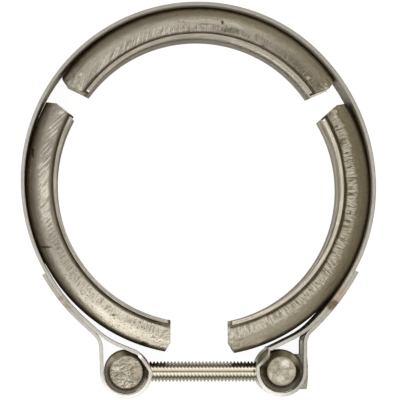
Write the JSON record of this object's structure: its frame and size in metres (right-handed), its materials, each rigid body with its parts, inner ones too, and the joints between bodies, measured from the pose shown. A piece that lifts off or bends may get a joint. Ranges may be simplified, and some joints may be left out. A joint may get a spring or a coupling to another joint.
{
  "type": "v-band hose clamp",
  "caption": "Round V-profile clamp for a charge air duct: a band with V retainers inside, closed by a T-bolt and nut.",
  "frame": {"origin": "centre of the band's ring, half way between the two rows of lips", "axes": "+Z along the ring's axis, +Y away from the bolt, +X along the bolt from its trunnion to the nut"},
  "size_m": [0.1009, 0.1126, 0.0206],
  "materials": {
    "band_steel": "rolled strip with bright sheared edges",
    "retainer_steel": "roll-formed sheet with forming marks",
    "sawn_steel": "sawn end faces",
    "thread_steel": "rolled thread",
    "turned_steel": "satin turned",
    "nut_steel": "satin"
  },
  "bodies": {
    "clamp": {"band": "band_steel", "retainer_top": "retainer_steel", "retainer_left": "retainer_steel", "retainer_right": "retainer_steel", "bolt_trunnion": "sawn_steel", "threaded_stud": "thread_steel", "nut_trunnion": "turned_steel"},
    "nut": {"hex_nut": "nut_steel"}
  },
  "joints": [
    {"name": "nut_travel", "type": "slide", "parent": "clamp", "child": "nut", "axis": [1, 0, 0], "range_m": [0, 0.0048]}
  ]
}
